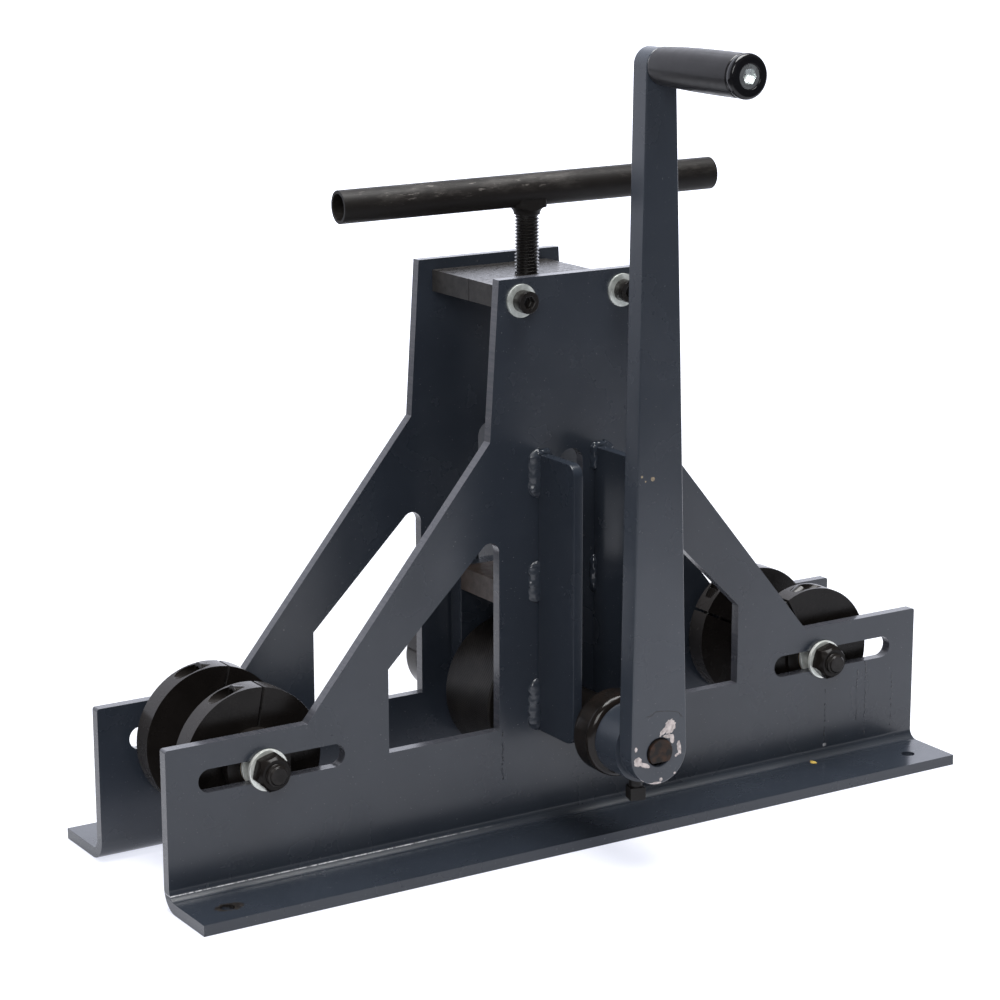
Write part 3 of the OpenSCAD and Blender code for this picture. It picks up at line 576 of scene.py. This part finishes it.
def thread_material(settings):
    """Blackened bolt with thread ridges along Y."""
    material, tree, shader = new_material("bolt_thread")
    along = place_axes(tree)[1]
    pitch = 2 * MM
    ridge = sums(tree, "SINE", sums(tree, "MULTIPLY", along, 2 * math.pi / pitch), 0)
    normal = bumps(tree, ridge, 0.7, 0.4 * MM)
    cloud = between(tree, grain(tree, 90, 4), 0.4, 0.7)
    tone = tint(tree, cloud, tuple(settings.black), (0.018, 0.016, 0.015))
    set_shader(tree, shader, {
        "Base_Color": tone, "Roughness": 0.26, "Specular_IOR_Level": 0.15, "Normal": normal})
    return material


def block_material():
    """Sawn steel block with dark brown scale and fine pits."""
    material, tree, shader = new_material("block")
    saw = grain(tree, 150, 5, 0.7, (0.3, 1, 1))
    pits = between(tree, grain(tree, 900, 2, 0.5), 0.66, 0.72)
    top = between(tree, facing_axes(tree)[2], 0.5, 0.8)
    tone = tint(tree, between(tree, saw, 0.35, 0.65), (0.01, 0.009, 0.009), (0.024, 0.022, 0.021))
    tone = tint(tree, sums(tree, "MULTIPLY", pits, 0.7), tone, (0.006, 0.005, 0.005))
    worn = between(tree, grain(tree, 260, 5, 0.75), 0.35, 0.6, 0.42, 0.24)
    rough = between(tree, top, 0, 1, 0.7, worn)
    normal = bumps(tree, grain(tree, 600, 4, 0.7), 0.25, 0.06 * MM, bumps(tree, saw, 0.2, 0.08 * MM))
    set_shader(tree, shader, {
        "Base_Color": tone, "Roughness": rough, "Specular_IOR_Level": 0.42, "Normal": normal})
    return material


def plastic_material():
    """Black moulded plastic, satin on the grip's body and glossy on its end."""
    material, tree, shader = new_material("grip_plastic")
    end_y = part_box("grip")[0].y
    body = between(tree, place_axes(tree)[1], end_y + 7 * MM, end_y + 8 * MM)
    cloud = between(tree, grain(tree, 80, 4), 0.45, 0.75)
    tone = tint(tree, sums(tree, "MULTIPLY", cloud, 0.5), (0.007, 0.0065, 0.0075), (0.014, 0.013, 0.0145))
    tone = tint(tree, body, (0.005, 0.005, 0.006), tone)
    worn = between(tree, grain(tree, 120, 4), 0.35, 0.7, 0.3, 0.4)
    rough = sums(tree, "MAXIMUM", sums(tree, "MULTIPLY", body, worn), 0.1)
    normal = bumps(tree, grain(tree, 500, 2), 0.05, 0.05 * MM)
    set_shader(tree, shader, {
        "Base_Color": tone, "Roughness": rough, "Specular_IOR_Level": 0.28, "Normal": normal})
    return material


def paper_material(settings):
    """White paper that glows, most to the right and the back."""
    material, tree, shader = new_material("paper")
    place = place_axes(tree)
    right = between(tree, place[0], 0.1, 0.8, 1, 1.35)
    back = between(tree, place[1], 1, 2.5, 1, 1.55)
    white = tint(tree, grain(tree, 3, 2), (0.28, 0.28, 0.28), (0.3, 0.3, 0.3))
    glow = product(tree, right, back, settings.paper)
    set_shader(tree, shader, {
        "Base_Color": white, "Roughness": 0.9, "Specular_IOR_Level": 0, "Emission_Color": (0.86, 0.885, 1),
        "Emission_Strength": glow})
    return material


def card_material():
    """Dark card that thins out towards the part."""
    material, tree, shader = new_material("card")
    place = place_axes(tree)
    near = product(tree, between(tree, place[1], -1.16, -0.92), between(tree, place[0], -0.95, -0.5))
    tone = tint(tree, grain(tree, 3, 2), (0.05, 0.05, 0.05), (0.06, 0.06, 0.06))
    set_shader(tree, shader, {
        "Base_Color": tone, "Roughness": 0.9, "Specular_IOR_Level": 0,
        "Alpha": between(tree, near, 0, 1, 0.95, 0)})
    return material


# Operators

class TUBEBENDER_OT_side_plates(bpy.types.Operator):
    """Rounds and paints the two side plates"""

    bl_idname = "tube_bender.side_plates"
    bl_label = "Side Plates"

    # Runs of paint on the front plate: place along X and two heights, in mm
    runs = ((273.5, 34, 73), (282, 19, 80), (241.5, 21, 62), (309, 21, 66), (-59, 46, 82))
    # Marks on the front plate: centre, half sizes and tilt, in mm and degrees
    drop = ((242, -59, 17.5), (1.6, 30, 1.4), 0)
    stain = ((225, -67, 8), (2.4, 3, 30), 0)
    grease = ((-300, -90.5, 8), (10.5, 6.5, 3), 0)

    def execute(self, context):
        settings = context.scene.tube_bender_paint
        marks = (
            # The first layer paints a highlight on the cut edges; the others are real marks.
            cut_edge_highlight_layer,
            bend_line_layer,
            chip_layer((self.drop,), (0.2, 0.2, 0.21), (0.5, 0.5, 0.52)),
            chip_layer((self.stain,), (0.2, 0.1, 0.01), (0.55, 0.4, 0.1)),
            chip_layer((self.grease,), (0.006, 0.005, 0.0045), (0.02, 0.017, 0.015)),
        )
        front = paint_material(
            settings, "front_plate_paint", settings.colour, marks, runs=self.runs, dull=bend_mask)
        # The back plate's cut edges get the same painted highlight.
        back = paint_material(settings, "back_plate_paint", settings.colour, (cut_edge_highlight_layer,))
        rounded("front_plate", settings.edge, front)
        rounded("back_plate", settings.edge, back)
        return {"FINISHED"}


class TUBEBENDER_OT_rails(bpy.types.Operator):
    """Rounds and paints the guide rails and lays their welds"""

    bl_idname = "tube_bender.rails"
    bl_label = "Rails and Welds"

    # Lower and upper ends of the welds beside a rail, in mm
    outer_welds = ((254, 290), (175, 207), (78, 118))
    inner_welds = ((268, 289), (176, 205))
    # Legs of each kind of weld along and off the plate, and how far the top weld passes the rail
    outer_legs = (9.5 * MM, 4 * MM)
    inner_legs = (4.5 * MM, 4.5 * MM)
    top_legs = (4 * MM, 4 * MM)
    top_reach = 3 * MM

    def execute(self, context):
        settings = context.scene.tube_bender_paint
        material = paint_material(settings, "rail_paint", settings.colour, shine=0.28)
        wet_paint = paint_material(settings, "wet_bead_paint", settings.colour, gloss=0.17)
        bead_paint = paint_material(settings, "bead_paint", settings.colour, gloss=-0.02)
        for node, side, face in (("front_left_rail", -1, -1), ("front_right_rail", 1, -1),
                                 ("back_left_rail", -1, 1), ("back_right_rail", 1, 1)):
            rounded(node, settings.edge * 1.6, material)
            low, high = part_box(node)
            outer_x, inner_x = (high.x, low.x) if side > 0 else (low.x, high.x)
            foot_y = high.y if face < 0 else low.y
            off = (0, face, 0)
            beads = []
            for x, way, spans, legs, paint in (
                    (outer_x, side, self.outer_welds, self.outer_legs, bead_paint),
                    (inner_x, -side, self.inner_welds, self.inner_legs, wet_paint)):
                for bottom, top in spans:
                    start, end = (x, foot_y, bottom * MM), (x, foot_y, top * MM)
                    beads.append((start, end, (way, 0, 0), legs, paint))
            top_start = (low.x - self.top_reach, foot_y, high.z)
            top_end = (high.x + self.top_reach, foot_y, high.z)
            beads.append((top_start, top_end, (0, 0, 1), self.top_legs, wet_paint))
            for count, (start, end, along, legs, paint) in enumerate(beads):
                mesh = weld_bead(f"{node}_weld_{count}", start, end, along, off, legs, seed=count + 7)
                bead = add_object(mesh.name, mesh)
                mesh.materials.append(paint)
                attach(bead, "frame")
        return {"FINISHED"}


class TUBEBENDER_OT_top_block(bpy.types.Operator):
    """Rounds and colours the top block, its screws and washers"""

    bl_idname = "tube_bender.top_block"
    bl_label = "Top Block"

    def execute(self, context):
        settings = context.scene.tube_bender_metal
        rounded("top_block", settings.edge, block_material())
        rounded("block_screws", settings.edge, black_material(settings, "block_screw_black", 0.25, 0.3))
        zinc = bright_material("block_washer_zinc", (0.5, 0.53, 0.5), (0.8, 0.83, 0.79), 0.38, 0.7)
        rounded("block_washers", settings.edge * 0.6, zinc)
        return {"FINISHED"}


class TUBEBENDER_OT_carriage(bpy.types.Operator):
    """Colours the press bar, legs, bushes and guide bushes"""

    bl_idname = "tube_bender.carriage"
    bl_label = "Carriage"

    def execute(self, context):
        paint = context.scene.tube_bender_paint
        metal = context.scene.tube_bender_metal
        brown = bright_material(
            "press_bar_steel", (0.026, 0.017, 0.013), (0.058, 0.041, 0.032), 0.5, 0.2, 120)
        rounded("press_bar", metal.edge, brown)
        leg_paint = paint_material(paint, "leg_paint", paint.colour)
        for node in ("front_leg", "back_leg"):
            rounded(node, metal.edge, leg_paint)
        painted("leg_bushes", bright_material("bush_bronze", *BRONZE, 0.35))
        black = black_material(metal, "carriage_black")
        for node in ("front_guide_bush", "back_guide_bush"):
            rounded(node, metal.edge, black)
        painted("leg_screws", black)
        painted("thrust_washer", bright_material("thrust_zinc", *DULL_ZINC, 0.3))
        return {"FINISHED"}


class TUBEBENDER_OT_press_screw(bpy.types.Operator):
    """Cuts the press screw's thread and finishes the T-handle"""

    bl_idname = "tube_bender.press_screw"
    bl_label = "Press Screw"

    def execute(self, context):
        settings = context.scene.tube_bender_metal
        low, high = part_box("press_screw")
        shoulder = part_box("thrust_washer")[1].z + 0.3 * MM
        weld_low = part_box("tee_weld_bead")[0].z
        tube_low = high.z - 4.5 * MM
        radius = (high.x - low.x) / 2
        journal_r = 6 * MM
        chamfer = 0.6 * MM
        axis_r = 0.001 * MM
        black = black_material(settings, "screw_black", 0.22, 0.75)
        piece = add_object("press_screw_look", thread_mesh(
            "press_screw_look", radius, settings.thread_pitch, shoulder, weld_low + 2 * MM, 1.4 * MM))
        stand_for(piece, "press_screw", black)
        journal_top = shoulder + 1 * MM
        journal = lathe("screw_journal", (
            (axis_r, low.z), (journal_r - chamfer, low.z), (journal_r, low.z + chamfer),
            (journal_r, journal_top), (axis_r, journal_top)))
        neck_r = radius - chamfer
        neck_low = weld_low - 1 * MM
        neck = lathe("screw_neck", (
            (axis_r, neck_low), (neck_r, neck_low), (neck_r, tube_low), (axis_r, tube_low)))
        for part in (journal, neck):
            part.materials.append(black)
            made = add_object(part.name, part)
            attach(made, "screw")
        tube = scale_material(settings)
        rounded("tee_handle", settings.edge * 0.8, tube)
        rounded("tee_weld_bead", settings.edge * 0.4, tube)
        painted("retaining_collar", black)
        painted("retaining_pin", bright_material("pin_zinc", *DULL_ZINC, 0.3))
        return {"FINISHED"}


class TUBEBENDER_OT_drive(bpy.types.Operator):
    """Finishes the drive shaft, knurled roller and thrust rings"""

    bl_idname = "tube_bender.drive"
    bl_label = "Drive Roller and Shaft"

    def execute(self, context):
        settings = context.scene.tube_bender_metal
        rounded("drive_roller", settings.edge, knurl_material(settings))
        steel = black_material(settings, "shaft_steel", 0.4, 0.18, rust=0.45)
        rounded("drive_shaft", settings.edge * 2.4, steel)
        painted("roller_key", bright_material("key_steel", (0.3, 0.3, 0.3), (0.5, 0.5, 0.5), 0.35))
        gloss = black_material(settings, "ring_black", 0.13, 0.2, rust=0.03)
        for node in ("front_thrust_ring", "back_thrust_ring"):
            rounded(node, settings.edge * 0.5, gloss)
        painted("ring_set_screws", black_material(settings, "grub_black"))
        return {"FINISHED"}


class TUBEBENDER_OT_crank(bpy.types.Operator):
    """Paints the crank and chips its lower end"""

    bl_idname = "tube_bender.crank"
    bl_label = "Crank"

    # Chips on the arm's front: place along X and Z, half sizes and tilt, in mm and degrees
    chips = (
        (9, 105.5, 4.4, 5, 20), (4, 103.2, 5, 1.8, -38), (8, 98.6, 5, 1.3, 8), (10.9, 96, 1.7, 3.4, 0),
        (17.1, 88.6, 1.6, 5.2, -8), (15.4, 83.6, 2, 1, -30), (-20.3, 93.4, 1.2, 1.7, 0),
        (-18.6, 84, 3.1, 3.3, 0), (-12.6, 80.4, 4.6, 1.6, 25), (-14.6, 68.4, 2.8, 0.9, 35),
        (-4, 65.4, 5.8, 1, 0), (1.6, 67.4, 1.3, 1.3, 0), (13.4, 70.2, 1, 0.8, 0),
    )
    # Tan stains on the arm, in the same way
    stains = ((-17.6, 290.3, 0.9, 0.9, 0), (-8.4, 287.7, 1.6, 1.5, 0), (-14.5, 286.5, 0.6, 0.6, 0))

    def execute(self, context):
        paint = context.scene.tube_bender_paint
        metal = context.scene.tube_bender_metal
        front_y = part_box("crank_arm")[0].y / MM
        bare = chip_layer(self.on_front(self.chips, front_y), (0.3, 0.26, 0.25), (0.54, 0.48, 0.46))
        tan = chip_layer(self.on_front(self.stains, front_y), (0.12, 0.09, 0.06), (0.3, 0.24, 0.16))
        # The crank arm and hub take the lighter arm colour, which paints in the extra light they catch.
        arm = paint_material(paint, "arm_paint", paint.arm_lit_colour, (fold_layer, bare, tan))
        rounded("crank_arm", paint.edge * 2, arm, 3)
        rounded("crank_hub", paint.edge, paint_material(paint, "hub_paint", paint.arm_lit_colour, shine=0.34))
        rounded("crank_set_screw", metal.edge * 1.6, black_material(metal, "set_screw_black", 0.38, 0.2))
        return {"FINISHED"}

    def on_front(self, marks, front_y):
        """Marks as ovals round the front face, deep enough to cover its rounded edge."""
        depth = 4
        return [((along, front_y, up), (half_x, depth, half_z), tilt)
                for along, up, half_x, half_z, tilt in marks]


class TUBEBENDER_OT_grip(bpy.types.Operator):
    """Rounds the revolving grip and finishes its screw"""

    bl_idname = "tube_bender.grip"
    bl_label = "Grip"

    def execute(self, context):
        settings = context.scene.tube_bender_metal
        rounded("grip", settings.edge * 1.2, plastic_material(), 3)
        zinc = bright_material("grip_screw_zinc", (0.6, 0.63, 0.63), (0.75, 0.78, 0.77), 0.22, 1.0, 60)
        rounded("grip_screw", settings.edge * 0.8, zinc)
        return {"FINISHED"}


class TUBEBENDER_OT_axles(bpy.types.Operator):
    """Finishes the axle bolts, nuts, washers and spacers"""

    bl_idname = "tube_bender.axles"
    bl_label = "Axles"

    def execute(self, context):
        settings = context.scene.tube_bender_metal
        nut = black_material(settings, "nut_black", 0.2, 0.1)
        zinc = bright_material("axle_washer_zinc", (0.58, 0.6, 0.57), (0.85, 0.87, 0.82), 0.4, 0.6)
        thread = thread_material(settings)
        for side in SIDES:
            rounded(f"{side}_axle_bolt", settings.edge * 0.8, thread)
            rounded(f"{side}_axle_nut", settings.edge, nut)
            rounded(f"{side}_axle_washers", settings.edge * 0.7, zinc)
            painted(f"{side}_axle_spacer", zinc)
        return {"FINISHED"}


class TUBEBENDER_OT_rollers(bpy.types.Operator):
    """Finishes the outer roller sleeves and their bushes"""

    bl_idname = "tube_bender.rollers"
    bl_label = "Outer Rollers"

    def execute(self, context):
        settings = context.scene.tube_bender_metal
        sleeve = black_material(settings, "sleeve_black", 0.34)
        bronze = bright_material("sleeve_bronze", *BRONZE, 0.35)
        for side in SIDES:
            rounded(f"{side}_roller_sleeve", settings.edge, sleeve)
            painted(f"{side}_roller_bushes", bronze)
        return {"FINISHED"}


class TUBEBENDER_OT_collars(bpy.types.Operator):
    """Finishes the split guide collars and their screws"""

    bl_idname = "tube_bender.collars"
    bl_label = "Guide Collars"

    def execute(self, context):
        settings = context.scene.tube_bender_metal
        # The collars' rims get a painted highlight, paler than their faces.
        black = black_material(settings, "collar_black", 0.24, 0.14, rim_highlight=0.3)
        screw = black_material(settings, "collar_screw_black", 0.25, 0.3)
        for place in COLLARS:
            for half in ("outer", "inner"):
                rounded(f"{place}_collar_{half}", settings.edge * 1.4, black)
            rounded(f"{place}_collar_screws", settings.edge * 0.8, screw)
        return {"FINISHED"}


class TUBEBENDER_OT_stage(bpy.types.Operator):
    """Sets up the floor, the light and the camera"""

    bl_idname = "tube_bender.stage"
    bl_label = "Stage"

    def execute(self, context):
        settings = context.scene.tube_bender_stage
        self.hang_paper(settings)
        self.lay_card()
        self.light(settings)
        self.set_camera(context, settings)
        return {"FINISHED"}

    def hang_paper(self, settings):
        """A white paper that lies under the part and bends up behind it."""
        front, bend, radius, height, half_width, steps = -9, 2.5, 1, 4.5, 9, 16
        profile = [(front, 0), (bend, 0)]
        for step in range(1, steps + 1):
            turn = math.pi / 2 * step / steps
            profile.append((bend + radius * math.sin(turn), radius * (1 - math.cos(turn))))
        profile.append((bend + radius, height))
        corners = [(side * half_width, y, z) for y, z in profile for side in (-1, 1)]
        faces = [(2 * row, 2 * row + 1, 2 * row + 3, 2 * row + 2) for row in range(len(profile) - 1)]
        mesh = bpy.data.meshes.new("paper")
        mesh.from_pydata(corners, [], faces)
        mesh.shade_smooth()
        mesh.materials.append(paper_material(settings))
        paper = add_object("paper", mesh)
        paper.location.z = -0.2 * MM

    def lay_card(self):
        """A dark card in front and at the left, which only the part's paint and metal mirror."""
        half_width = 9
        shape = bmesh.new()
        bmesh.ops.create_grid(shape, x_segments=1, y_segments=1, size=half_width)
        mesh = bpy.data.meshes.new("card")
        shape.to_mesh(mesh)
        shape.free()
        mesh.materials.append(card_material())
        card = add_object("card", mesh)
        card.location.z = -0.1 * MM
        card.visible_camera = False
        card.visible_shadow = False

    def light(self, settings):
        """An even room and two soft lights aimed at the part."""
        target = Vector((0, 0, 0.2))
        world = bpy.data.worlds.new("room")
        world.use_nodes = True
        sky = world.node_tree.nodes["Background"]
        sky.inputs["Color"].default_value = (1, 1, 1, 1)
        sky.inputs["Strength"].default_value = settings.sky
        bpy.context.scene.world = world
        for name, place, size, power in (
                ("top_light", (0.1, -0.1, 2.3), 1.5, settings.top),
                ("key_light", (-1.9, -2.2, 1.9), 1.5, settings.key)):
            lamp = bpy.data.lights.new(name, "AREA")
            lamp.size = size
            lamp.energy = power
            holder = add_object(name, lamp)
            holder.location = place
            aim = target - Vector(place)
            holder.rotation_euler = aim.to_track_quat("-Z", "Y").to_euler()
            holder.visible_camera = False

    def set_camera(self, context, settings):
        """The camera of the main picture."""
        scene = context.scene
        view = bpy.data.cameras.new("camera")
        view.lens = settings.lens
        view.sensor_width = 36
        view.clip_end = 100
        camera = add_object("camera", view)
        place = Vector(settings.camera_at)
        aim = (Vector(settings.look_at) - place).to_track_quat("-Z", "Y").to_matrix()
        camera.location = place
        camera.rotation_euler = (aim @ Euler((0, 0, settings.roll)).to_matrix()).to_euler()
        scene.camera = camera
        scene.view_settings.view_transform = "Standard"


class TUBEBENDER_PT_panel(bpy.types.Panel):
    """Steps and settings of the tube bender's looks"""

    bl_idname = "TUBEBENDER_PT_panel"
    bl_label = "Tube Bender"
    bl_space_type = "VIEW_3D"
    bl_region_type = "UI"
    bl_category = "Tube Bender"

    def draw(self, context):
        scene = context.scene
        for group in (scene.tube_bender_paint, scene.tube_bender_metal, scene.tube_bender_stage):
            box = self.layout.box()
            for name in type(group).__annotations__:
                box.prop(group, name)
        for step in STEPS:
            self.layout.operator(step.bl_idname)


GROUPS = (TubeBenderPaint, TubeBenderMetal, TubeBenderStage)
STEPS = (
    TUBEBENDER_OT_side_plates, TUBEBENDER_OT_rails, TUBEBENDER_OT_top_block, TUBEBENDER_OT_carriage,
    TUBEBENDER_OT_press_screw, TUBEBENDER_OT_drive, TUBEBENDER_OT_crank, TUBEBENDER_OT_grip,
    TUBEBENDER_OT_axles, TUBEBENDER_OT_rollers, TUBEBENDER_OT_collars, TUBEBENDER_OT_stage,
)


def register():
    for kind in (*GROUPS, *STEPS, TUBEBENDER_PT_panel):
        bpy.utils.register_class(kind)
    bpy.types.Scene.tube_bender_paint = bpy.props.PointerProperty(type=TubeBenderPaint)
    bpy.types.Scene.tube_bender_metal = bpy.props.PointerProperty(type=TubeBenderMetal)
    bpy.types.Scene.tube_bender_stage = bpy.props.PointerProperty(type=TubeBenderStage)


def unregister():
    del bpy.types.Scene.tube_bender_stage
    del bpy.types.Scene.tube_bender_metal
    del bpy.types.Scene.tube_bender_paint
    for kind in reversed((*GROUPS, *STEPS, TUBEBENDER_PT_panel)):
        bpy.utils.unregister_class(kind)


def main():
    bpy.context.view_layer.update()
    register()
    for step in STEPS:
        category, name = step.bl_idname.split(".")
        result = getattr(getattr(bpy.ops, category), name)()
        if result != {"FINISHED"}:
            raise RuntimeError(f"{step.bl_idname} did not finish")


if __name__ == "__main__":
    main()
